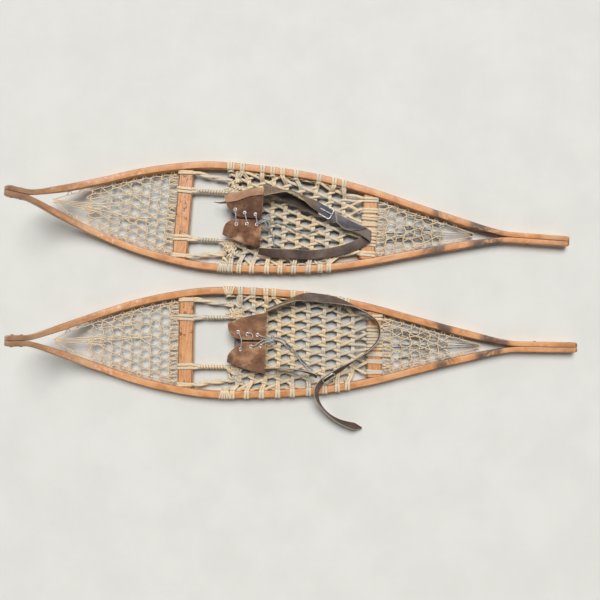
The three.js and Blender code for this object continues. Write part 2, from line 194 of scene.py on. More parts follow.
def curl(points):
    """Bends points of the flat shoe up with its toe."""
    p = np.array(points, float)
    along = np.maximum(p[:, 0] - CURL_START, 0)
    turned = np.minimum(along / CURL_RADIUS, CURL_ANGLE)
    beyond = along - turned * CURL_RADIUS
    reach = CURL_RADIUS - (p[:, 2] - MID)
    bent = p[:, 0] > CURL_START
    x = CURL_START + reach * np.sin(turned) + beyond * np.cos(turned)
    z = MID + CURL_RADIUS - reach * np.cos(turned) + beyond * np.sin(turned)
    p[bent, 0], p[bent, 2] = x[bent], z[bent]
    return p


# ---- Meshes ----
def oval(sides, squareness=1.0):
    """A round or squarish section, as (across, through) shares of the half size."""
    a = np.linspace(0, 2 * math.pi, sides, endpoint=False)
    c, s = np.cos(a), np.sin(a)
    return np.stack([np.sign(c) * np.abs(c) ** squareness, np.sign(s) * np.abs(s) ** squareness], 1)


ROUND = oval(8)
ROUND_FINE = oval(16)
FLAT = oval(12, 0.55)


class Shape:
    """A mesh in the making: swept strands and sheets, in a shoe's millimetres."""

    def __init__(self):
        self.points, self.faces, self.tones, self.wear_and_shade_values = [], [], [], []
        self.count = 0

    def add(self, rows, tone, wear_and_shade):
        """Takes rows of points (n, m, 3), and gives back their numbers (n, m)."""
        n, m = rows.shape[:2]
        self.points.append(rows.reshape(-1, 3))
        self.tones.append(np.broadcast_to(tone, (n, m)).reshape(-1))
        self.wear_and_shade_values.append(np.broadcast_to(wear_and_shade, (n, m)).reshape(-1))
        self.count += n * m
        return np.arange(self.count - n * m, self.count).reshape(n, m)

    def face(self, corners, uvs):
        self.faces.append(([int(c) for c in corners], uvs))

    def grid(self, rows, u, v, tone=0.0, wear_and_shade=0.0, closed_rows=False):
        """Joins rows of points into a tube. u, v: texture coordinates of rows and columns."""
        n, m = rows.shape[:2]
        index = self.add(rows, tone, wear_and_shade)
        for i in range(n if closed_rows else n - 1):
            following = index[(i + 1) % n]
            for j in range(m):
                k = (j + 1) % m
                self.face((index[i, j], index[i, k], following[k], following[j]),
                          [(u[i], v[j]), (u[i], v[j + 1]), (u[i + 1], v[j + 1]), (u[i + 1], v[j])])
        if not closed_rows:
            for row, order in ((0, -1), (n - 1, 1)):
                self.face(index[row][::order], [(u[row], 0.5)] * m)

    def sweep(self, path, width, thick, section=ROUND, tone=0.0, wear_and_shade=None, closed=False, up=(0, 0, 1),
              side=None):
        """A strand along a path. up: the way its thickness faces, unless side says which way its width does.

        Both may be one vector or one at each point, and so may width and thick.
        """
        path = np.asarray(path, float)
        t = tangents(path, closed)
        side = unit(np.cross(up, t)) if side is None else np.broadcast_to(side, path.shape)
        normal = np.cross(t, side)
        w, h = (np.broadcast_to(np.asarray(size, float), (len(path),))[:, None, None] / 2
                for size in (width, thick))
        rows = (path[:, None] + side[:, None] * section[None, :, :1] * w
                + normal[:, None] * section[None, :, 1:] * h)
        run = distances(path) + rng.random() * 900
        run = np.append(run, run[-1] + (np.linalg.norm(path[0] - path[-1]) if closed else 0))
        # By default the wear and shade attribute is the height round the section, which the rawhide's
        # material turns into painted shade on the sides and underside.
        self.grid(rows, run / 1000, np.linspace(0, 1, len(section) + 1) + rng.random(), tone,
                  section[:, 1] if wear_and_shade is None else wear_and_shade, closed_rows=closed)

    def strand(self, path, width, thick, section=FLAT):
        """A level strand in a shade of its own."""
        self.sweep(path, width, thick, section, tone=rng.random())

    def build(self, shoe, name, look, body, replaces=(), bent=False, hinge=None):
        material, slot = look
        points = np.concatenate(self.points)
        if bent:
            points = curl(points)
        turn = -1 if shoe.outboard < 0 else 1  # a mirrored shoe's faces are turned round
        mesh = bpy.data.meshes.new(name)
        mesh.from_pydata(shoe.place(points).tolist(), [], [corners[::turn] for corners, _ in self.faces])
        uvs = [uv for _, face_uvs in self.faces for uv in face_uvs[::turn]]
        mesh.uv_layers.new(name="strand").data.foreach_set("uv", np.asarray(uvs, np.float32).reshape(-1))
        for key, values in (("tone", self.tones), ("wear_and_shade", self.wear_and_shade_values)):
            mesh.attributes.new(key, "FLOAT", "POINT").data.foreach_set(
                "value", np.concatenate(values).astype(np.float32))
        mesh.polygons.foreach_set("use_smooth", [True] * len(mesh.polygons))
        mesh.materials.append(material)
        mesh.update()
        piece = bpy.data.objects.new(f"{shoe.name}_{name}", mesh)
        bpy.context.scene.collection.objects.link(piece)
        if hinge:
            start, end = shoe.place(np.array(hinge, float))
            shoe.node("binding")
            shoe.node(body)
            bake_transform(piece)
        else:
            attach(piece, shoe.node(body))
        if replaces:
            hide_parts(*[shoe.node(r) for r in replaces])
        return piece


# ---- Materials ----
def linear(color):
    """A colour given as (r, g, b) from 0 to 255, in linear light; anything else is left as it is."""
    if not isinstance(color, tuple) or len(color) > 3:
        return color
    return tuple(c / 255 / 12.92 if c < 11 else ((c / 255 + 0.055) / 1.055) ** 2.4 for c in color) + (1,)


def grey(value):
    return value, value, value, 1


class Nodes:
    """A material's node tree, in short calls, most of which return an output socket.

    color is the colour built up so far.
    """

    def __init__(self, name, roughness=0.5, **settings):
        self.material = bpy.data.materials.new(name)
        self.material.use_nodes = True
        self.tree = self.material.node_tree
        self.shader = self.tree.nodes["Principled BSDF"]
        self.shader.inputs["Roughness"].default_value = roughness
        self.color = None
        for key, value in settings.items():
            self.shader.inputs[key.replace("_", " ")].default_value = value

    def put(self, socket, value):
        if isinstance(value, bpy.types.NodeSocket):
            self.tree.links.new(value, socket)
        else:
            socket.default_value = value

    def add(self, kind, **inputs):
        node = self.tree.nodes.new(kind)
        for key, value in inputs.items():
            self.put(node.inputs[key], value)
        return node

    def attribute(self, name):
        node = self.tree.nodes.new("ShaderNodeAttribute")
        node.attribute_name = name
        return node.outputs["Fac"]

    def place(self, stretch=None):
        """Texture coordinates: along the strand and round it, stretched, or the object's own space."""
        coordinates = self.tree.nodes.new("ShaderNodeTexCoord").outputs["UV" if stretch else "Object"]
        scale = (*stretch, 1) if stretch else (1, 1, 1)
        return self.add("ShaderNodeMapping", Vector=coordinates, Scale=scale).outputs["Vector"]

    def noise(self, scale, detail, rough, distortion=0.0, stretch=None):
        return self.add("ShaderNodeTexNoise", Vector=self.place(stretch), Scale=scale, Detail=detail,
                        Roughness=rough, Distortion=distortion).outputs["Fac"]

    def ramp(self, value, *stops):
        node = self.add("ShaderNodeValToRGB", Fac=value)
        elements = node.color_ramp.elements
        while len(elements) < len(stops):
            elements.new(0.5)
        for element, (at, color) in zip(elements, stops):
            element.position = at
            element.color = linear(color)
        return node.outputs["Color"]

    def between(self, value, low, high):
        """0 below low, 1 above high."""
        node = self.add("ShaderNodeMapRange", Value=value, **{"From Min": low, "From Max": high})
        node.interpolation_type = "SMOOTHSTEP"
        return node.outputs["Result"]

    def math(self, operation, a, b):
        node = self.tree.nodes.new("ShaderNodeMath")
        node.operation = operation
        self.put(node.inputs[0], a)
        self.put(node.inputs[1], b)
        return node.outputs[0]

    def times(self, a, b):
        return self.math("MULTIPLY", a, b)

    def plus(self, a, b):
        return self.math("ADD", a, b)

    def mix(self, share, a, b):
        node = self.tree.nodes.new("ShaderNodeMix")
        node.data_type = "RGBA"
        self.put(node.inputs["Factor"], share)
        self.put(node.inputs[6], linear(a))
        self.put(node.inputs[7], linear(b))
        return node.outputs[2]

    def lay(self, share, color):
        """Lays a share of a colour over the colour so far."""
        self.color = self.mix(share, self.color, color)

    def cover(self, value, low, high, color, strength=None):
        """Lays a colour where a value passes from low to high, at most as strongly as given."""
        share = self.between(value, low, high)
        self.lay(share if strength is None else self.times(share, strength), color)

    def bump(self, height, strength, distance):
        node = self.add("ShaderNodeBump", Height=height, Strength=strength, Distance=distance)
        self.put(self.shader.inputs["Normal"], node.outputs["Normal"])

    def finish(self, roughness=None):
        self.put(self.shader.inputs["Base Color"], self.color)
        if roughness is not None:
            self.put(self.shader.inputs["Roughness"], roughness)
        return self.material


def wood_material(name, patches):
    """Varnished ash, gone orange: fine grain along the rail, pale scuffs, dark nicks and faded tips.

    patches: how much of it is worn through to dark, bare wood. wear and shade: scuffs above 0, and painted
    shade along the corners below it.
    tone: faded above 0 and smudged below it.
    """
    n = Nodes(name, 0.45, Coat_Weight=0.2, Coat_Roughness=0.35)
    worn, tone = n.attribute("wear_and_shade"), n.attribute("tone")
    grain = n.noise(3, 6, 0.6, 0.4, stretch=(9, 26))
    pores = n.noise(4, 4, 0.7, stretch=(40, 130))
    clouds = n.noise(9, 3, 0.5, stretch=(1, 1))
    scuffs = n.noise(4, 6, 0.8, stretch=(16, 44))
    nicks = n.noise(6, 3, 0.6, stretch=(70, 22))
    bare = n.noise(2.2, 6, 0.75, 0.6, stretch=(9, 26))
    streaks = n.noise(3, 3, 0.5, stretch=(3, 60))
    flecks = n.times(n.between(n.noise(44, 6, 0.85), 0.55, 0.6), n.between(n.noise(15, 2, 0.4), 0.46, 0.54))
    n.color = n.ramp(grain, (0.25, (178, 110, 58)), (0.5, (218, 150, 92)), (0.75, (238, 180, 126)))
    n.cover(pores, 0.56, 0.75, (160, 98, 56))
    n.cover(clouds, 0.5, 0.75, (228, 172, 120))
    n.cover(scuffs, 0.52, 0.64, (238, 204, 182), n.between(worn, 0.2, 1.0))
    n.cover(nicks, 0.66, 0.72, (92, 62, 44), 0.65)
    n.cover(bare, 0.74 - patches * 0.16, 0.8 - patches * 0.16, (96, 66, 46))
    n.lay(n.times(flecks, 0.85 * patches), (66, 44, 34))
    n.cover(streaks, 0.58, 0.7, (150, 96, 60), 0.4)
    n.lay(tone, n.ramp(grain, (0.3, (126, 96, 74)), (0.7, (176, 140, 110))))
    n.cover(tone, 0, -1, (98, 74, 62), n.between(bare, 0.36, 0.56))
    # Painted shade: darkens the corners, where the attribute is below 0, in patches.
    corner_shade = n.times(n.between(worn, -0.1, -0.9), n.between(bare, 0.26, 0.5))
    n.lay(n.times(corner_shade, 0.85), (78, 48, 32))
    n.bump(n.plus(grain, pores), 0.25, 0.0006)
    return n.finish(n.ramp(clouds, (0.3, grey(0.38)), (0.8, grey(0.6))))


def rawhide_material(name, light, dark, walked_on, bump=0.5):
    """Varnished rawhide: fibres along it, each strand its own shade, greyer where it was walked on."""
    n = Nodes(name, 0.5, Coat_Weight=0.15, Coat_Roughness=0.3)
    tone = n.attribute("tone")
    fibres = n.noise(4, 5, 0.6, 0.3, stretch=(30, 5))
    threads = n.noise(3, 4, 0.6, stretch=(14, 40))
    n.color = n.mix(n.between(fibres, 0.3, 0.75), dark, light)
    n.lay(n.times(tone, 0.35), dark)
    n.cover(tone, 1.0, 2.0, (84, 66, 50))
    n.cover(n.noise(16, 3, 0.5), 0.44, 0.62, walked_on, 0.65)
    n.cover(threads, 0.62, 0.8, (140, 112, 78))
    # Painted shade on each strand's sides and underside, where the attribute that holds the height round its
    # section is low.
    n.cover(n.attribute("wear_and_shade"), 0.97, 0.25, (74, 55, 38), 0.85)
    n.bump(n.plus(fibres, threads), bump, 0.0008)
    return n.finish()


def suede_material(name, dark, middle, light):
    """Suede, darker where its tone is below 0, lighter where it is above, and pale along its worn edges."""
    n = Nodes(name, 0.85, Sheen_Weight=0.35, Sheen_Roughness=0.5)
    tone = n.attribute("tone")
    blotches = n.noise(26, 4, 0.6, 0.3)
    nap = n.noise(420, 4, 0.7)
    n.color = n.ramp(blotches, (0.34, dark), (0.5, middle), (0.66, light))
    n.lay(n.times(nap, 0.3), dark)
    n.cover(tone, 0, -1, (52, 32, 22), 0.5)
    n.cover(tone, 0, 1, (194, 152, 116), 0.55)
    n.cover(n.plus(n.attribute("wear_and_shade"), n.times(blotches, 0.5)), 0.75, 1.3, (214, 176, 142))
    n.bump(n.plus(nap, blotches), 0.5, 0.0009)
    return n.finish()


def strap_material():
    """Dark oiled leather with pale cut edges. tone: a painted bluish sky reflection above 0, and the flesh
    side below it.
    """
    n = Nodes("dark_strap_leather", 0.5, Specular_IOR_Level=0.28)
    tone, wear_and_shade = n.attribute("tone"), n.attribute("wear_and_shade")
    clouds = n.noise(22, 4, 0.6)
    creases = n.noise(4, 5, 0.65, stretch=(60, 4))
    pores = n.noise(900, 3, 0.6)
    n.color = n.ramp(clouds, (0.3, (62, 49, 42)), (0.5, (90, 73, 64)), (0.7, (118, 99, 88)))
    # Painted bluish sky reflection where tone is above 0.
    n.cover(tone, 0, 1, n.ramp(clouds, (0.35, (66, 67, 74)), (0.65, (104, 108, 122))))
    n.cover(tone, 0, -1, n.ramp(creases, (0.35, (92, 74, 56)), (0.65, (146, 124, 100))))
    n.cover(creases, 0.6, 0.8, (48, 38, 34))
    n.cover(wear_and_shade, 0.1, 0.5, (142, 130, 118))
    n.cover(wear_and_shade, 0.75, 1.0, (190, 168, 146))
    n.bump(n.plus(n.times(creases, 1.5), pores), 0.35, 0.0006)
    return n.finish(n.ramp(clouds, (0.3, grey(0.6)), (0.7, grey(0.46))))


def lace_material():
    """Grey waxed cord, its plies running round it."""
    n = Nodes("grey_cord", 0.7, Sheen_Weight=0.2)
    plies_ = n.add("ShaderNodeTexWave", Vector=n.place((420, 2)), Scale=1).outputs["Fac"]
    dirt_and_shade = n.noise(2, 4, 0.6, stretch=(40, 2))
    n.color = n.mix(n.between(dirt_and_shade, 0.35, 0.7), (150, 150, 148), (222, 220, 216))
    n.lay(n.times(plies_, 0.3), (110, 112, 118))
    n.bump(plies_, 0.6, 0.0006)
    return n.finish()


def metal_material(name, light, dark):
    """Old nickel plate, dulled unevenly."""
    n = Nodes(name, 0.35, Metallic=1.0)
    tarnish = n.noise(260, 4, 0.6)
    n.bump(tarnish, 0.15, 0.0004)
    n.color = n.mix(n.between(tarnish, 0.45, 0.7), light, dark)
    return n.finish(n.ramp(tarnish, (0.3, grey(0.25)), (0.7, grey(0.5))))


# Each look is a material and its slot.
WOOD = wood_material("worn_ash", 0.15), "wood"
BAR_WOOD = wood_material("worn_crossbar", 1.0), "wood"
RAWHIDE = rawhide_material("rawhide", (255, 238, 204), (218, 186, 142), (204, 195, 179)), "rawhide"
BABICHE = (rawhide_material("babiche", (255, 236, 202), (242, 204, 156), (240, 222, 194), 0.3),
           "fine_babiche")
SUEDE = suede_material("brown_suede", (82, 50, 32), (136, 90, 59), (192, 146, 108)), "flap_leather"
STRAP = strap_material(), "strap_leather"
CORD = lace_material(), "lace_cotton"
NICKEL = metal_material("nickel", (242, 240, 234), (180, 174, 164)), "metal"
DULL_NICKEL = metal_material("dull_nickel", (212, 206, 194), (146, 140, 130)), "metal"
SOLE = suede_material("grey_sole", (112, 104, 106), (146, 138, 140), (170, 162, 164)), "flap_leather"
IRON = metal_material("dark_rivet", (150, 132, 112), (92, 78, 66)), "metal"

# ---- Camera ----
scene = bpy.context.scene
camera = bpy.data.objects.new("camera", bpy.data.cameras.new("camera"))
scene.collection.objects.link(camera)
scene.camera = camera
camera.data.sensor_width = CAMERA_SENSOR
camera.data.lens = CAMERA_SENSOR * CAMERA_FOCAL
camera.location = (-0.0031, -0.0832, CAMERA_HEIGHT)
camera.rotation_euler = (math.radians(CAMERA_TILT), 0, 0)

# ---- Laces' loose ends ----
LACE_REST = 19.3  # the height of a lace's middle where it lies on the deck
LACE_ENDS = {  # for each end, its drop from the knot, as (x, y, z), and its course over the deck, as (x, y)
    "right": (([(827, -4, 36), (814, -4, 24)],
               [(797, -7), (777, -10), (764, -17), (749, -24), (732, -28), (714, -28), (696, -21),
                (672, -12)]),
              ([(828, -14, 36), (821, -25, 24)], [(814, -36), (808, -48), (805, -62), (803, -75)])),
    "left": (([(827, -5, 36), (815, -8, 24)], [(801, -4), (786, 8), (771, 21), (748, 47), (722, 76)]),
             ([(828, -14, 36), (814, -16, 24)], [(797, -12), (782, 2), (768, 16), (744, 42), (715, 71)])),
}


def make_lace_end(shoe, index, drop, lying):
    route = drop + [(x, y, LACE_REST) for x, y in lying]
    line = course(route, 20 * len(route), 1.5)
    shape = Shape()
    shape.sweep(line, 2 * LACE_RADIUS, 2 * LACE_RADIUS, ROUND_FINE)
    piece = shape.build(shoe, f"lace_end_{index}_cord", CORD, "binding", [f"lace_end_{index}"])
    line = shoe.place(line)


for shoe in SHOES:
    for number, (drop, lying) in enumerate(LACE_ENDS[shoe.name], 1):
        make_lace_end(shoe, number, drop, lying)


# ---- Bent-wood frame ----
def wood_wear_and_shade(section, scuffed):
    """Scuffed on top, and below zero for painted shade along the four corners."""
    corner = np.min(np.abs(section), axis=1) > 0.86
    return np.where(corner, -1, scuffed * np.maximum(section[:, 1], 0))


def make_rails(shoe):
    section = oval(28, 0.26)
    x = np.concatenate([np.linspace(0, 14, 8), np.arange(20, LENGTH - 16, 6),
                        np.linspace(LENGTH - 12, LENGTH, 8)])
    end = np.minimum(np.minimum(x, LENGTH - x) / 12, 1)
    rounding = 0.72 + 0.28 * np.sqrt(1 - (1 - end) ** 2)
    across = rail_width(x) / 2
    paired = 0.35 + 0.65 * rise(x, 120, 200) * fall(x, 1410, 1450)  # less painted corner shade where the rails lie together
    scuffed = np.maximum(rise(x, 1130, 1200) * fall(x, 1400, 1450), 0.55 * fall(x, 300, 430))
    wear_and_shade = wood_wear_and_shade(section, scuffed[:, None])
    wear_and_shade = np.where(wear_and_shade < 0, wear_and_shade * paired[:, None], wear_and_shade)
    for name, side in (("outboard_rail", 1), ("inboard_rail", -1)):
        rows = np.empty((len(x), len(section), 3))
        rows[..., 0] = x[:, None]
        rows[..., 1] = side * ((rail_middle(x) - across)[:, None] + (section[None, :, 0] * side + 1)
                               * across[:, None] * rounding[:, None] ** 0.8)
        rows[..., 2] = MID + section[None, :, 1] * (rounding * RAIL_HEIGHT / 2)[:, None]
        faded = np.maximum(0.4 * rise(x, 1230, 1400) + 0.4 * rise(x, 1400, 1480), 0.4 * fall(x, 15, 110))
        for low, high in ((190, 285), (330, 395)):  # two smudged stretches
            low, high = low + rng.uniform(-12, 12), high + rng.uniform(-12, 12)
            faded = faded - 0.9 * rise(x, low - 12, low + 14) * fall(x, high - 25, high + 12)
        faded = faded - 1.2 * fall(x, 2, 12)
        shape = Shape()
        u = x / 1000 + rng.random() * 5
        v = np.linspace(0, 0.08, len(section) + 1) + rng.random()
        shape.grid(rows, u, v, faded[:, None], wear_and_shade)
        shape.build(shoe, f"{name}_wood", WOOD, "shoe", [name], bent=True)


def make_crossbar(shoe, name, x, look, scuffed):
    shape = Shape()
    reach = rail_inside(x) + 2
    path = [(x, y, MID) for y in np.linspace(-reach, reach, 60)]
    section = oval(28, 0.3)
    shape.sweep(path, BAR_WIDTH, BAR_HEIGHT, section, wear_and_shade=wood_wear_and_shade(section, scuffed))
    shape.build(shoe, f"{name}_wood", look, "shoe", [name])


def make_rivet(shoe, name, x):
    """A domed head on each side of the two rails, drawn as one pin."""
    seat = half_width(x) + 0.4
    half = [(seat + 1.6, 0.4), (seat + 1.5, 2.0), (seat + 1.1, 3.2), (seat + 0.5, 3.9), (seat, 4.0),
            (seat - 0.2, 2.0)]
    profile = [(-y, r) for y, r in half] + half[::-1]
    size = np.array([2 * r for _, r in profile])
    shape = Shape()
    shape.sweep([(x, y, MID) for y, _ in profile], size, size, ROUND_FINE)
    shape.build(shoe, f"{name}_pin", IRON, "shoe", [name], bent=True)


# ---- Rawhide ----
RING = oval(36, 0.5)


def ring(shape, centre, reach, height, on_rail, width, thick=2.0, lean=0.0, cluster=0.0):
    """A strand once round a rail or crossbar, shifted by lean, and by cluster on the side of reach."""
    across, up = RING[:, 0] * reach, RING[:, 1] * height
    shift = lean + cluster * (1 + across / reach) / 2
    x, y = (shift, across) if on_rail else (-across, shift)
    path = np.stack([centre[0] + x, centre[1] + y, centre[2] + up], 1)
    side = (math.copysign(1, reach), 0, 0) if on_rail else (0, 1, 0)
    shape.sweep(path, width, thick, FLAT, tone=rng.random(), closed=True, side=side)


def bar_ring(shape, bar, y, clearance, width, thick=2.0, **more):
    ring(shape, (bar, y, MID), BAR_WIDTH / 2 + clearance, BAR_HEIGHT / 2 + clearance, False, width, thick,
         **more)


def rail_rings(shape, x, side, leans, width=7.4, gather=0.85):
    """Strands over the rail at x: together on its inner edge and spread on its outer one."""
    for lean in leans:
        ring(shape, (x, side * rail_middle(x), MID), side * (rail_width(x) / 2 + 1.4), RAIL_HEIGHT / 2 + 1.4,
             True, width * rng.uniform(0.94, 1.06), lean=lean * gather, cluster=lean * (1.05 - gather))


def rail_edge(x):
    return rail_inside(x) - 3


class Weave:
    """Three ways of strand: two slanting along the shoe and one across it, with six-sided holes between."""

    def __init__(self, columns, pitch, phase, amplitude, jitter):
        columns = np.asarray(columns, float)
        self.count = len(columns)
        self.pitch, self.phase, self.amplitude, self.jitter = pitch, phase, amplitude, jitter
        self.u = np.arange(-3, self.count + 3)
        self.x = np.concatenate([columns[0] - (columns[1] - columns[0]) * np.arange(3, 0, -1), columns,
                                 columns[-1] + (columns[-1] - columns[-2]) * np.arange(1, 4)])

    def slanting(self, sign, k):
        u = np.linspace(-2.6, self.count + 1.6, 400)
        x = np.interp(u, self.u, self.x)
        y = self.phase + self.pitch / 2 + sign * self.pitch / 2 * u + self.pitch * k
        y = y + self.wander(x, y)
        z = MID + sign * self.amplitude * np.cos(2 * math.pi * u)
        return np.stack([x, y, z], 1)

    def wander(self, x, y):
        return self.jitter * (np.sin(x * 0.11 + y * 0.07) + np.sin(y * 0.19 - x * 0.043 + 1.3)) * 0.6

    def between(self, i):
        """Where the strand across behind column i lies."""
        return np.interp(i + 0.5, self.u, self.x)

    def across(self, i, low, high):
        y = np.linspace(low, high, 160)
        x = self.between(i)
        plus = self.phase + self.pitch / 2 + self.pitch / 2 * (i + 0.5)
        z = MID + self.amplitude * np.cos(2 * math.pi * (y - plus) / self.pitch)
        return np.stack([x + self.wander(y * 0.7, x + y) * 1.2, y, z], 1)


def longest_run(path, keep):
    """The longest stretch of the path where keep holds."""
    best, start = (0, 0), None
    for i, inside in enumerate(list(keep) + [False]):
        if inside and start is None:
            start = i
        if not inside and start is not None:
            if i - start > best[1] - best[0]:
                best = (start, i)
            start = None
    return path[best[0]:best[1]]


def tail_off(path, target, reach, first):
    """Bends one end of a path over `reach` to finish at the target."""
    p = path[::-1].copy() if first else path.copy()
    s = distances(p)
    w = rise(s, s[-1] - reach, s[-1])[:, None]
    p = p + w * (np.asarray(target, float) - p[-1])
    return p[::-1] if first else p


def nearest(values, x):
    return min(values, key=lambda v: abs(v - x))


REAR_LOOPS = (-73, -44, -26, -9, 8, 26, 45, 75)  # where the deck's pairs loop over the rear crossbar


def deck_front(y):
    """Where the deck ends ahead: at the toe cord, and further on beside the toe hole."""
    return TOE_CORD - 3 + 27 * rise(np.abs(y), 60, 76)


def make_deck(shoe):
    """The heavy rawhide deck under the boot, with its strands over both rails and the rear crossbar."""
    shape = Shape()
    weave = Weave(shoe.hole_columns, 26, shoe.hole_phase, 2.0, jitter=0.9)
    rear = REAR_BAR + BAR_WIDTH / 2 + 1

    def at_rail(x, side, lean, height):
        at = nearest(shoe.wraps[side], x)
        return at + lean, side * (rail_inside(at) + 1), MID + height

    for sign in (1, -1):
        for k in range(-14, 15):
            path = weave.slanting(sign, k)
            x, y = path[:, 0], path[:, 1]
            path = longest_run(path, (x < deck_front(y)) & (x > rear + 2) & (np.abs(y) < rail_edge(x) - 3))
            if len(path) < 12:
                continue
            for first in (True, False):
                end_x, end_y, _ = path[0] if first else path[-1]
                if end_x < rear + 8:
                    target = (rear, nearest(REAR_LOOPS, end_y) + rng.choice((-3.6, 3.6)), MID + 5)
                    path = tail_off(path, target, 62, first)
                elif end_x < deck_front(end_y) - 8:
                    target = at_rail(end_x, 1 if end_y > 0 else -1, rng.uniform(-4, 4), 3 * sign)
                    path = tail_off(path, target, 30, first)
            shape.strand(resample(path, 3), 8.0 * rng.uniform(0.85, 1.1), 3.6)
    for i in range(-1, weave.count):
        x = weave.between(i)
        if not rear + 12 < x < TOE_CORD + 20:
            continue
        edge = rail_edge(x)
        spans = [(-edge, edge)] if x < TOE_CORD - 8 else [(-edge, -70), (70, edge)]
        for start, stop in spans:
            for lean in (-1, 1):
                path = weave.across(i, start, stop)
                path[:, 0] += lean * 2.5
                for side, end in ((-1, start), (1, stop)):
                    if abs(end) > 90:
                        path = tail_off(path, at_rail(x, side, lean * 3.4, 8), 26, side < 0)
                shape.strand(resample(path, 3), 6.0 * rng.uniform(0.9, 1.1), 3.4)
    # A turn round each pair where it comes off the rail.
    for side in (1, -1):
        for x in shoe.wraps[side]:
            turn = about(x, side * (rail_inside(x) - 5), (-9, -side, 0), (-4, side, 7.5), (4, 0, 7.5),
                         (9, -2 * side, 0))
            shape.strand(course(turn, 20, 2), 5.5, 2.2)
    for y in REAR_LOOPS:
        for lean in (-3.6, 3.6):
            bar_ring(shape, REAR_BAR, y + lean * rng.uniform(0.9, 1.1), 1.3, 7.3 * rng.uniform(0.92, 1.08),
                     lean=rng.uniform(-1, 1), cluster=rng.uniform(-2, 2))
    shape.build(shoe, "deck_strands", RAWHIDE, "shoe", ["centre_webbing"])
    for name, side in (("outboard", 1), ("inboard", -1)):
        make_wraps(shoe, name, side)


def make_wraps(shoe, name, side):
    """The deck's turns round one rail, the foremost in a cluster, and the cord that runs inside them."""
    shape = Shape()
    foremost, *others = shoe.wraps[side]
    for x in others:
        rail_rings(shape, x, side, (-3.9, 3.8))
    if (shoe.name, side) == ("right", 1):
        rail_rings(shape, foremost, side, (-7.6, 0, 7.4), 7.2, 0.9)
    else:
        rail_rings(shape, foremost + 1, side, (-14, -7, 0, 6.8, 13.4), 5.7, 0.55)
    x = np.linspace(others[-1] - 6, foremost + 6, 120)
    for lean in (0.0, 2.6):
        path = np.stack([x, side * (rail_inside(x) - 1.6 - lean), MID + 3 * np.sin(x * 0.18 + lean)], 1)
        shape.strand(resample(path, 4), 4.5, 2.0)
    shape.build(shoe, f"{name}_wrap_strands", RAWHIDE, "shoe", [f"{name}_rail_wraps"])


def plies(shape, path, count, radius, pitch, width, thick, flat=1.0, phase=0.0):
    """Strands twisted round one line."""
    step = 2.0
    path = resample(path, step)
    side, normal = side_and_up(path)
    s = np.arange(len(path)) * step
    for k in range(count):
        a = (2 * math.pi * (s / pitch + k / count) + phase)[:, None]
        shape.strand(path + radius * (np.cos(a) * side + flat * np.sin(a) * normal), width, thick)


def coil(shape, path, radius, pitch, width, thick):
    """A flat strand wound closely round a straight line."""
    step = 0.9
    path = resample(path, step)
    side, normal = side_and_up(path)
    a = (2 * math.pi * np.arange(len(path)) * step / pitch)[:, None]
    out = np.cos(a) * side + np.sin(a) * normal
    shape.sweep(path + radius * out, width, thick, FLAT, tone=rng.random(), up=out)


WOUND = 67  # how far out the wound cords beside the toe hole lie
SIDE_PAIR = 115, 104  # and the twisted pairs outside them, at the crossbar and at the deck


def make_toe_cord(shoe):
    """The bundle that the binding turns on, the wound cords and the twisted strands to the front crossbar."""
    shape = Shape()
    reach = rail_inside(TOE_CORD) - 2
    plies(shape, [(TOE_CORD, y, MID) for y in (-reach, 0, reach)], 4, 2.9, 46, 5.6, 4.2)
    front = FRONT_BAR - BAR_WIDTH / 2 - 1
    for side in (1, -1):
        y = side * WOUND
        for lean in (-4.6, 4.4):
            bar_ring(shape, FRONT_BAR, y + lean, 1.5, 8.0, 2.2, cluster=-side * 2)
            lead = about(front, y, (3, lean, 5.5), (-8, lean * 0.8, 3), (-26, lean * 0.35, 1))
            shape.strand(course(lead, 16, 2), 7.2, 3.2)
        core = resample([(front - 8, y, MID), (TOE_CORD + 4, y, MID)], 4)
        shape.sweep(core, 8, 8, ROUND_FINE, tone=0.9)
        start, stop = (front - 14, 952) if side > 0 else (front - 34, 962)
        coil(shape, [(start, y, MID), (stop, y, MID)], 4.7, 7.6, 6.4, 3.4)
        # Slack turns and strands where the wound cord runs into the deck.
        for k in range(4):
            a = rng.uniform(0, 6)
            loop = about(944 - 9 * k, y + side * 6, (10, -3, 2), (4, 5 * math.sin(a), 5), (-4, side * 7, 3),
                         (-10, -side * 2, 4), (-20, 4 * math.cos(a), 1))
            shape.strand(course(loop, 30, 2), 5.2, 2.4)
        start, end = side * SIDE_PAIR[0], side * SIDE_PAIR[1]
        path = spline([(front + 3, start, MID + 6), (front - 12, start, MID + 4),
                       (1000, (start + end) / 2, MID + 1), (950, end, MID + 1),
                       (932, end - side * 4, MID + 1)], 60)
        plies(shape, path, 2, 2.9, 84 * side, 7.4, 2.8, 0.5, phase=0.8)
        for lean in (-3.2, 3.2):
            bar_ring(shape, FRONT_BAR, start + lean, 1.5, 7, 2.2, cluster=-lean * 0.6)
        # Knots where the side strands meet the deck's front corner.
        for k in range(5):
            knot = about(934 - 5 * k, side * rng.uniform(80, 108), (8, -9, 0), (3, 0, 6), (-5, 4, 5),
                         (-3, -5, 7), (-12, 8, 0))
            shape.strand(course(knot, 30, 2), 5.2, 2.2)
    shape.build(shoe, "toe_cord_strands", RAWHIDE, "shoe", ["toe_cord"])


# First column, end of the columns, their step, pitch across, phase, the net's point, and where its edge cords
# leave the rails for it.
NETS = {"toe_net": (1092, 1330, 26, 23.5, 0, 1407, 1372), "tail_net": (337, 530, 25, 22, 6, 259, 300)}
NET_INSET = 9


def net_edge(x):
    return rail_inside(x) - NET_INSET


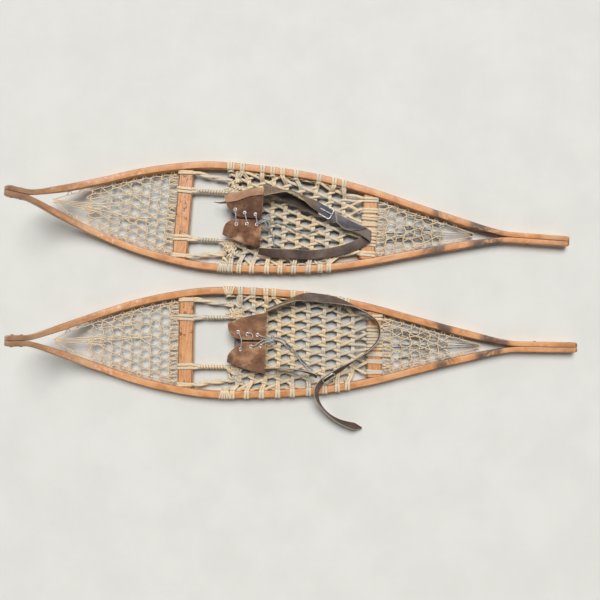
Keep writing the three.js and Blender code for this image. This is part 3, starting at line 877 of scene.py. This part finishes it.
def make_net(shoe, name):
    """A fine net of thin strands, laced to the rails by a cord inside them."""
    start, stop, step, pitch, phase, point, parting = NETS[name]
    shape = Shape()
    columns = np.arange(start, stop, step)
    weave = Weave(columns, pitch, phase, 0.7, jitter=2.9)
    toe = name == "toe_net"
    ahead = 1 if toe else -1  # from the crossbar to the point
    bar_edge = (FRONT_BAR if toe else REAR_BAR) + ahead * (BAR_WIDTH / 2 + 1)
    low, high = sorted((bar_edge, point))
    first, last = (low, stop - 4) if toe else (start + 4, high)
    cord_low, cord_high = sorted((bar_edge + ahead * 4, parting))

    def thin():
        return rng.uniform(2.1, 3.3)

    for sign in (1, -1):
        for k in range(-14, 15):
            path = weave.slanting(sign, k)
            x, y = path[:, 0], path[:, 1]
            path = longest_run(path, (x > first) & (x < last) & (np.abs(y) < net_edge(x)))
            if len(path) >= 10:
                shape.strand(resample(path, 4), thin(), 1.9, ROUND)
    for i in range(len(columns) - 1):
        x = weave.between(i)
        reach = net_edge(x)
        if reach >= 4 and low < x < high:
            shape.strand(resample(weave.across(i, -reach, reach), 4), thin(), 1.9, ROUND)
    for side in (1, -1):
        x = np.linspace(cord_low, cord_high, 160)
        y = side * np.maximum(net_edge(x), 2) + 0.8 * np.sin(x * 0.21)
        path = np.stack([x, y, np.full_like(x, MID)], 1)
        tip = [(point, side * (2.5 if toe else 3.0), MID)]
        shape.strand(resample(np.vstack([path, tip] if toe else [tip, path]), 4), 2.6, 2.1, ROUND)
        stations = []
        x = cord_low + 6
        while x < cord_high - 4:
            stations.append(x)
            x += rng.uniform(24, 31)
        for x in stations:
            tie = [(x, side * net_edge(x), MID + 0.5), (x + 6, side * (rail_inside(x + 6) + 0.5), MID + 1.5),
                   (x + 12, side * net_edge(x + 12), MID + 0.5)]
            shape.strand(course(tie, 14, 2), 2.3, 1.8, ROUND)
    # Long strands to the net's point, dark in the tail.
    for y in (-3.4, -1.2, 1.2, 3.4) if toe else (-2.8, 0, 2.8):
        ends = [(columns[-1 if toe else 0] - ahead * step * rng.uniform(1, 2.5), y * 3.6, MID),
                (point - ahead * 4, y * 0.8, MID)]
        shape.sweep(resample(ends[::ahead], 4), 2.8 if toe else 2.2, 2.2, tone=0.5 if toe else 1.9)
    # A few strands that wander along the net: pale ones at the toe, and ones low in the tail, painted dark to
    # stand in for the tail net's shade.
    strays, sway, drop, dirt_and_shade = (4, 3.5, 0, 0.5) if toe else (8, 1.2, 3.5, 1.9)
    for _ in range(strays):
        share = rng.uniform(-0.85, 0.85)
        x = np.linspace(cord_low + rng.uniform(40, 100), cord_high - rng.uniform(10, 80), 60)
        y = share * net_edge(x) + sway * np.sin(x * rng.uniform(0.03, 0.06) + rng.uniform(0, 6))
        stray = np.stack([x, y, MID - drop + 1.5 * np.sin(x * 0.2)], 1)
        shape.sweep(resample(stray, 4), thin(), 1.9, tone=dirt_and_shade)
    # Short pairs tied into the crossbar's edge.
    y = 6 - net_edge(bar_edge)
    while y < net_edge(bar_edge) - 4:
        a, b = rng.uniform(-4, 4), rng.uniform(-4, 4)
        for lean in (a, a + 4):
            pair = [(bar_edge + ahead * 24, y + lean + b, MID), (bar_edge - ahead, y + a, MID)]
            shape.strand(resample(pair, 4), 2.3, 1.8, ROUND)
        y += rng.uniform(9, 13)
    shape.build(shoe, f"{name}_strands", BABICHE, "shoe", [name], bent=toe)


# ---- Leather ----
def catmull(points, t):
    """Uniform Catmull-Rom at t from 0 to 1, with its direction."""
    p = np.asarray(points, float)
    n = len(p) - 1
    at = np.clip(np.asarray(t, float), 0, 1) * n
    i = np.minimum(at.astype(int), n - 1)
    w = (at - i)[..., None]
    p0, p1, p2, p3 = p[np.maximum(i - 1, 0)], p[i], p[i + 1], p[np.minimum(i + 2, n)]
    m1, m2 = (p2 - p0) / 2, (p3 - p1) / 2
    cubic, square = 2 * p1 - 2 * p2 + m1 + m2, -3 * p1 + 3 * p2 - 2 * m1 - m2
    return cubic * w ** 3 + square * w ** 2 + m1 * w + p1, unit(3 * cubic * w ** 2 + 2 * square * w + m1)


FLAP_REAR, FLAP_FRONT, FLAP_ROUND, FLAP_TAPER = 841, 945, 45, 0.42
FLAP_SECTION = [(60, 25), (75, 27.5), (80, 32.5), (74, 38), (58, 41), (36, 43), (18, 43)]
LEATHER = 2.5


def flap_point(seam, fore, share, lift=0.0):
    """fore: 0 at the rear edge to 1 in front. share: 0 at the sole to 1 at the seam. lift: off it."""
    at, way = catmull(FLAP_SECTION + [(seam, FLAP_TOP)], share)
    front = FLAP_FRONT - FLAP_ROUND * share ** 6
    inward = 1 - FLAP_TAPER * np.clip(fore, 0, 1) ** 1.5 * (1 - share) ** 0.5
    x = FLAP_REAR + (front - FLAP_REAR) * fore
    return np.stack([x, (at[..., 0] + way[..., 1] * lift) * inward, at[..., 1] - way[..., 0] * lift], -1)


def leather_sheet(shape, surface, rows, columns, thick, tone=0.0, wrinkle=0.5, pale=1.0, patch=None):
    """A closed sheet from surface(u, v, lift), its rim rounded and worn pale."""
    u, v = np.linspace(0, 1, rows), np.linspace(0, 1, columns)
    uu, vv = np.meshgrid(u, v, indexing="ij")
    waves = wrinkle * (np.sin(uu * 9 + vv * 5 + 1) * np.sin(vv * 8 - uu * 3)
                       + 0.6 * np.sin(uu * 17 + vv * 13))
    near = np.minimum(np.minimum(uu, 1 - uu) * rows, np.minimum(vv, 1 - vv) * columns)
    worn = pale * fall(near, 0.4, 3)
    if patch is not None:
        worn = np.maximum(worn, patch(uu, vv))
    half = thick / 2 * (0.45 + 0.55 * rise(near, -0.5, 1.2))
    top, under = (shape.add(surface(uu, vv, lift + waves), tone, worn) for lift in (half, -half))
    u, v = u / 10, v / 10

    def wall(a, b, uv):
        shape.face((top[a], under[a], under[b], top[b]), [uv] * 4)

    for i in range(rows - 1):
        for j in range(columns - 1):
            uv = [(u[i], v[j]), (u[i + 1], v[j]), (u[i + 1], v[j + 1]), (u[i], v[j + 1])]
            shape.face((top[i, j], top[i + 1, j], top[i + 1, j + 1], top[i, j + 1]), uv)
            shape.face((under[i, j], under[i, j + 1], under[i + 1, j + 1], under[i + 1, j]),
                       uv[:1] + uv[:0:-1])
    for i in range(rows - 1):
        wall((i, 0), (i + 1, 0), (u[i], 0))
        wall((i + 1, -1), (i, -1), (u[i], 1))
    for j in range(columns - 1):
        wall((0, j + 1), (0, j), (0, v[j]))
        wall((-1, j), (-1, j + 1), (1, v[j]))


def make_flap(shoe, name, seam, side):
    shape = Shape()
    pale = {("right", -1): 1.0, ("left", 1): 0.7, ("left", -1): 0.5}.get((shoe.name, side), 0.0)
    tone = {("right", 1): -1, ("right", -1): -0.2}.get((shoe.name, side), 0.25)

    def surface(u, v, lift):
        return flap_point(seam, u if side < 0 else 1 - u, v, lift) * (1, side, 1)

    def patch(u, v):
        """The pale, worn stretch low on the front of the flap."""
        fore = u if side < 0 else 1 - u
        return pale * fall(v + 0.12 * np.sin(fore * 9), 0.34, 0.62) * (0.35 + 0.65 * rise(fore, 0.1, 0.7))

    leather_sheet(shape, surface, 44, 70, LEATHER, tone=tone, pale=0.7, patch=patch)
    if (shoe.name, side) == ("right", 1):
        shares = np.linspace(0.2, 1, 60)

        def band(u, v, lift):
            """The flap's outer margin, folded back on top: v from 0 at the fold to 1 at its cut edge."""
            fore = 1.01 - u
            column = fore[:, :1]
            x = FLAP_REAR + (FLAP_FRONT - FLAP_REAR) * column
            cut = np.interp(x, [841, 875, 890, 912, 938, 946], [62, 56, 50, 40, 34, 36])
            across = flap_point(seam, column + 0 * shares, 0 * column + shares)[..., 1]
            inner = np.array([np.interp(c, row[::-1], shares[::-1]) for c, row in zip(cut, across)])
            share = 0.2 + (inner - 0.2) * v
            return flap_point(seam, fore, share, lift + 3.0 * rise(v, -0.3, 0.25) + 0.7 * np.sin(v * 3.1))

        leather_sheet(shape, band, 44, 22, 2.0, tone=0.8, wrinkle=0.3, pale=0.8)
    shape.build(shoe, f"{name}_leather", SUEDE, "binding", [name])


def make_sole(shoe):
    """The leather under the boot's toe, turned down round the toe cord in front."""
    shape = Shape()
    rear, top, inside = 848, 22.3, 6.8
    flat = TOE_CORD - rear

    def surface(u, v, lift):
        run = u * (flat + 26)
        turned = np.clip((run - flat) / 8, 0, 2.9)
        radius = inside + LEATHER / 2 + lift
        x = rear + np.minimum(run, flat) + radius * np.sin(turned)
        half = 58 - 20 * rise(run, flat - 12, flat)
        z = np.where(run < flat, top - LEATHER / 2 + lift, MID + radius * np.cos(turned))
        return np.stack([x, (0.5 - v) * 2 * half, z], -1)

    leather_sheet(shape, surface, 60, 24, LEATHER, wrinkle=0.2)
    shape.build(shoe, "toe_sole_leather", SOLE, "binding", ["toe_sole"])


EYELETS = {  # outboard and inboard, from the front
    "right": ([(914, 16), (888, 9), (859, 7)], [(908, -23), (880, -20), (853, -20)]),
    "left": ([(908, 17), (881, 9), (854, 7)], [(916, -29), (891, -24), (864, -22)]),
}
EYELET_LIP = np.array([(2.6, -1.6), (2.6, 1.6), (3.0, 2.3), (3.6, 2.7), (4.3, 2.5), (4.9, 2.0), (5.0, 1.5),
                       (3.3, 1.4), (3.3, -1.6)])  # its (radius, height) about its own axis


def make_eyelets(shoe):
    a = np.linspace(0, 2 * math.pi, 24, endpoint=False)[:, None]
    radius, height = EYELET_LIP.T
    for name, spots in zip(("outboard", "inboard"), EYELETS[shoe.name]):
        for number, (x, y) in enumerate(spots, 1):
            rows = np.stack([x + np.cos(a) * radius, y + np.sin(a) * radius,
                             np.broadcast_to(FLAP_TOP + height, (24, len(height)))], -1)
            shape = Shape()
            shape.grid(rows[:, ::-1], np.linspace(0, 1, 25), np.linspace(0, 1, len(height) + 1),
                       closed_rows=True)
            shape.build(shoe, f"{name}_eyelet_{number}_ring", NICKEL, "binding", [f"{name}_eyelet_{number}"])


KNOT = (832, -7, 41)
LACING = {  # each run of lace over the flaps, as (x, y, z), from an eyelet to the one across or to the knot
    "right": [
        [(914, 16, 39.5), (914, 15, 46.3), (912, 6, 47.8), (909, -15, 47.8), (908, -22, 46.3),
         (908, -23, 39.5)],
        [(888, 9, 39.5), (888, 8, 46.3), (885, 0, 47.8), (881, -12, 47.8), (880, -19, 46.3),
         (880, -20, 39.5)],
        [(859, 7, 39.5), (859, 6, 46.3), (856, -2, 47.8), (853, -13, 47.4), (853, -19, 46.3),
         (853, -20, 39.5)],
        [(853, -20, 39.5), (852, -18, 46.4), (845, -12, 47.2), (837, -9, 44), KNOT],
        [(853, -20, 39.5), (850, -20, 46.4), (843, -16, 47.4), (836, -11, 44), KNOT],
    ],
    "left": [
        [(916, -29, 39.5), (915, -28, 46.3), (910, -20, 47.8), (906, -8, 48.2), (906, 5, 47.8),
         (908, 16, 46.3), (908, 17, 39.5)],
        [(891, -24, 39.5), (890, -24, 46.3), (883, -26, 47.6), (877, -22, 48), (877, -14, 47),
         (882, -9, 44.5)],
        [(881, 9, 39.5), (880, 8.5, 46.3), (870, 7, 47.8), (857, -3, 48), (845, -9, 46), KNOT],
        [(864, -22, 39.5), (862, -21.5, 46.3), (852, -18, 47.6), (842, -15, 46), (832, -8, 41)],
        [(854, 7, 39.5), (853, 6, 46.3), (848, 1, 47.4), (840, -4, 46), (832, -6, 41)],
    ],
}
BOWS = {"right": (10, -12, 6), "left": (-8, 5)}  # how far to the side each of the knot's loops reaches


def make_lacing(shoe):
    shape = Shape()
    width = 2 * LACE_RADIUS
    for points in LACING[shoe.name]:
        shape.sweep(course(points, 80, 1.2), width, width, ROUND_FINE, up=(0.4, 0.3, 0.05))
    t = np.linspace(0, 2 * math.pi, 90, endpoint=False)
    trefoil = np.stack([np.sin(t) + 2 * np.sin(2 * t), np.cos(t) - 2 * np.cos(2 * t),
                        -1.6 * np.sin(3 * t)], 1)
    shape.sweep(KNOT + trefoil * (1.7, 1.9, 1.5), width, width, ROUND_FINE, closed=True, up=(0.3, 0.2, 1))
    x, y, z = KNOT
    for reach in BOWS[shoe.name]:
        loop = [(x, y, z + 1), (x - 3, y + reach, z + 1), (x - 8, y + reach * 1.7, z - 2),
                (x - 13, y + reach * 1.2, z - 4), (x - 10, y + reach * 0.4, z - 4), (x - 2, y, z - 1)]
        shape.sweep(course(loop, 60, 1.2), 3.0, 3.0, ROUND_FINE)
    shape.build(shoe, "lacing", CORD, "binding", ["toe_lace"])


# (x, y, z, roll): where each strap's middle runs and how it leans. The right heel strap is given unfolded.
HEEL_STRAPS = {
    "right": [(838, -90, 35, -50), (800, -92, 31, -25), (755, -90, 26.5, -5), (693, -87, 24, 0),
              (628, -72, 23.5, 0), (572, -48, 23.5, 0), (551, -35, 23.5, 0), (531, -23, 23.5, 0),
              (519, -16, 23.5, 0), (494, -6, 23.5, 0), (464, 6, 23.5, 0), (438, 18, 22.5, 0),
              (412, 30, 19, 0), (391, 41, 15.5, -6), (374, 49, 14, -24), (362, 55, 12, -42),
              (350, 61, 10, -57), (336, 68, 8.5, -66), (313, 76, 8, -68), (294, 75.5, 8, -68),
              (269, 71, 9, -60), (245, 66, 10, -45)],
    "left": [(838, -88, 36, -74), (803, -105, 36, -76), (765, -120, 35, -58), (730, -126, 32, -22),
             (697, -123, 32, -16), (665, -119, 35.5, -35), (632, -111, 38, -60), (608, -103, 40, -80),
             (583, -91, 39, -88), (559, -76, 37, -90), (542, -59, 36, -90), (536, -36, 35, -90),
             (540, -14, 35, -90), (553, 4, 35, -90), (574, 22, 36, -88), (614, 49, 38, -75),
             (641, 66, 40, -58), (674, 86.5, 40.3, -55), (690, 99, 40.3, -53), (701, 115, 39.5, -52),
             (705, 131, 37, -60), (702, 146, 33.5, -70), (695, 161, 27, -78), (683, 178, 20, -82),
             (663, 196, 15.5, -80), (640, 209, 13.8, -72), (612, 219, 11.8, -56), (580, 226, 9, -34)],
}
BUCKLE_STRAPS = {
    "right": [(838, 78, 33, 0), (820, 78, 30, 0), (800, 74, 28, 0), (782, 66, 27.5, 0),
              (746, 50, 27.5, 0), (712, 38, 27.5, 0), (690, 30, 27.5, 0)],
    "left": [(838, 72, 35, 60), (800, 67, 35, 84), (751, 71, 39, 80), (721, 78, 44, 72), (704, 86, 47, 66)],
}
BUCKLES = {"right": ((669, 30, 35.5), 25, 0), "left": ((671, 91, 44), 33, -55)}  # place, heading and roll
SEWN_IN = 5  # how far a strap's end reaches in at the flap's rear edge
STRAP_BEND = [(842, 0, 38.5), (790, 0, 38.5)]  # a stretch across the straps, passed to build() as a hinge, which places it but bends nothing


def fold_over(points):
    """Doubles the strap back over itself past the fold's line."""
    p = np.array(points, float)
    past = FOLD_X - p[..., 0]
    turned = np.minimum(past / FOLD_RADIUS, math.pi)
    reach = FOLD_RADIUS - (p[..., 2] - FOLD_HEIGHT)
    x = FOLD_X - reach * np.sin(turned) + (past - turned * FOLD_RADIUS)
    z = FOLD_HEIGHT + FOLD_RADIUS - reach * np.cos(turned)
    p[..., 0] = np.where(past > 0, x, p[..., 0])
    p[..., 2] = np.where(past > 0, z, p[..., 2])
    return p


def make_strap(shoe, name, route, fold=False, pointed=False):
    """A strap of constant width whose roll turns with its route; its cut edges are pale."""
    rows = len(route) * 14
    points = np.array(route, float)
    roll = np.radians(np.interp(np.linspace(0, len(route) - 1, rows), np.arange(len(route)), points[:, 3]))
    points[0, 0] += SEWN_IN
    if fold:  # both of its ends are sewn in
        points[-1, 0] -= SEWN_IN
    line = spline(points[:, :3], rows)
    level, up = side_and_up(line)
    side = np.cos(roll)[:, None] * level + np.sin(roll)[:, None] * up
    out = np.cross(tangents(line), side)
    run = distances(line)
    width = np.full(rows, STRAP_WIDTH / 2)
    if pointed:
        width = width * (0.25 + 0.75 * rise(run[-1] - run, 0, 24))
    across = np.linspace(-1, 1, 21)
    top = np.stack([across, np.where(np.abs(across) > 0.94, 0.5, 1.0)], 1)
    section = np.vstack([top[::-1], top * (1, -1)])
    grid = (line[:, None] + side[:, None] * section[None, :, :1] * width[:, None, None]
            + out[:, None] * section[None, :, 1:] * (STRAP_THICK / 2))
    wear_and_shade = np.where(np.abs(section[:, 0]) > 0.93, 1.0, 0.0)
    bare = (50, 130) if pointed else (25, 80)  # the flesh side shows near the flap
    tone = -0.9 * fall(run, *bare)[:, None]
    if fold:
        flesh = section[:, 1] < 0
        past = line[:, :1] < FOLD_X
        beyond = FOLD_X - line[:, :1]
        # Past the fold, the upturned side takes a painted bluish sky reflection, then the flesh side's colour
        # further on.
        tone = past * (rise(beyond, 55, 85) - 1.75 * rise(beyond, 135, 190)) * flesh
        wear_and_shade = np.maximum(wear_and_shade, past * 0.3 * fall(beyond, 60, 90) * flesh)
        grid = fold_over(grid)
    shape = Shape()
    shape.grid(grid, run / 1000, np.linspace(0, 0.1, len(section) + 1), tone, wear_and_shade)
    shape.build(shoe, f"{name}_leather", STRAP, "heel", [name], hinge=STRAP_BEND)


def make_twist(shoe):
    """The right heel strap's turned-over stretch beside the rear crossbar, lying on the folded one."""
    shape = Shape()
    upper = spline([(646, 32, 34.5), (617, 19.5, 34.6), (590, 7.5, 34.8), (572, -0.5, 35),
                    (557, -6, 35.2)], 40)
    lower = spline([(640, 4, 34.5), (620, -12, 34.6), (604, -16, 34.8), (584, -14.5, 35), (564, -9.5, 35.2),
                    (556, -6.5, 35.2)], 40)

    def surface(u, v, lift):
        k = u * 39
        i = np.minimum(k.astype(int), 38)
        w = (k - i)[..., None]
        a, b = (edge[i] * (1 - w) + edge[i + 1] * w for edge in (upper, lower))
        p = a * (1 - v[..., None]) + b * v[..., None]
        p[..., 2] += lift + 1.2 * np.sin(v * 3.1)
        return p

    # Its tone of 0.6 is a painted bluish sky reflection.
    leather_sheet(shape, surface, 40, 20, 2.4, tone=0.6, wrinkle=0.15)
    shape.build(shoe, "heel_strap_twist", STRAP, "heel", ["heel_strap"])


def make_buckle(shoe):
    at, heading, roll = BUCKLES[shoe.name]
    h, r = math.radians(heading), math.radians(roll)
    u = np.array((math.cos(h), math.sin(h), 0))
    w = np.array((-math.sin(h) * math.cos(r), math.cos(h) * math.cos(r), math.sin(r)))
    n = np.cross(u, w)
    turn = np.stack([u, w, n])
    half = np.array((BUCKLE_LENGTH - BUCKLE_WIRE, BUCKLE_WIDTH - BUCKLE_WIRE, 0)) / 2
    frame_line = np.pad(oval(64, 0.32), ((0, 0), (0, 1))) * half
    shape = Shape()
    shape.sweep(np.array(at) + frame_line @ turn, BUCKLE_WIRE, 3.4, ROUND_FINE, closed=True, up=n)
    shape.build(shoe, "buckle_frame_wire", DULL_NICKEL, "heel", ["buckle_frame"])
    shape = Shape()
    along = np.linspace(18, -17.6, 20)
    lift = 3.6 - 0.5 * np.linspace(0, 1, 20) ** 2
    path = np.array(at) + np.stack([along, 0 * along, lift], 1) @ turn
    shape.sweep(path, np.interp(along, [-17.6, 12], [2.0, 3.2]), 2.6, ROUND_FINE, side=-w)
    shape.build(shoe, "buckle_prong_pin", DULL_NICKEL, "prong", ["buckle_prong"])


def make_thong(shoe):
    shape = Shape()
    line = spline([(932, 36, 42), (946, 35, 36), (960, 34, 31), (976, 36, 27)], 24)
    shape.sweep(line, np.linspace(9, 1.2, 24), 2.0, FLAT, wear_and_shade=0)
    shape.build(shoe, "thong", STRAP, "binding")


for shoe in SHOES:
    make_rails(shoe)
    make_crossbar(shoe, "front_crossbar", FRONT_BAR, BAR_WOOD, 0.8)
    make_crossbar(shoe, "rear_crossbar", REAR_BAR, WOOD, 0.3)
    for name, x in RIVETS.items():
        make_rivet(shoe, name, x)
    make_deck(shoe)
    make_toe_cord(shoe)
    make_net(shoe, "toe_net")
    make_net(shoe, "tail_net")
    make_sole(shoe)
    make_flap(shoe, "outboard_flap", -3, 1)
    make_flap(shoe, "inboard_flap", 8, -1)
    make_eyelets(shoe)
    make_lacing(shoe)
    make_strap(shoe, "heel_strap", HEEL_STRAPS[shoe.name], fold=shoe is RIGHT, pointed=shoe is LEFT)
    make_strap(shoe, "buckle_strap", BUCKLE_STRAPS[shoe.name])
    make_buckle(shoe)
make_thong(RIGHT)
make_twist(RIGHT)


# ---- Floor and light ----
def make_floor(reach=6):
    n = Nodes("pale_floor", 0.75)
    n.color = n.mix(n.between(n.noise(6, 5, 0.6), 0.3, 0.7), (223, 222, 215), (229, 228, 221))
    mesh = bpy.data.meshes.new("floor")
    corners = [(-reach, -reach, 0), (reach, -reach, 0), (reach, reach, 0), (-reach, reach, 0)]
    mesh.from_pydata(corners, [], [(0, 1, 2, 3)])
    mesh.materials.append(n.finish())
    floor = bpy.data.objects.new("floor", mesh)
    scene.collection.objects.link(floor)


def make_sun(name, energy, location, spread):
    """A sun that shines from the given place towards the middle of the floor."""
    data = bpy.data.lights.new(name, "SUN")
    data.energy = energy
    data.angle = math.radians(spread)
    lamp = bpy.data.objects.new(name, data)
    lamp.location = location
    lamp.rotation_euler = (-Vector(location)).to_track_quat("-Z", "Y").to_euler()
    scene.collection.objects.link(lamp)


def shade_world(tree):
    """A studio that is bright low down all round and dim overhead, so the deck's holes go dark."""
    coordinates, parts, height = (tree.nodes.new("ShaderNode" + kind)
                                  for kind in ("TexCoord", "SeparateXYZ", "ValToRGB"))
    background = tree.nodes["Background"].inputs
    background["Strength"].default_value = 1
    tree.links.new(coordinates.outputs["Generated"], parts.inputs["Vector"])
    tree.links.new(parts.outputs["Z"], height.inputs["Fac"])
    tree.links.new(height.outputs["Color"], background["Color"])
    stops = ((0, 0.9), (0.4, 0.5), (0.75, 0.02), (1, 0.0))  # height and brightness
    for _ in stops[2:]:
        height.color_ramp.elements.new(0.5)
    for element, (at, bright) in zip(height.color_ramp.elements, stops):
        element.position = at
        element.color = (bright * 0.94, bright * 0.97, bright, 1)


make_floor()
make_sun("window", 3.02, (0.05, 1.0, 1.65), 39)
world = bpy.data.worlds.new("studio")
scene.world = world
world.use_nodes = True
shade_world(world.node_tree)
scene.view_settings.view_transform = "Standard"
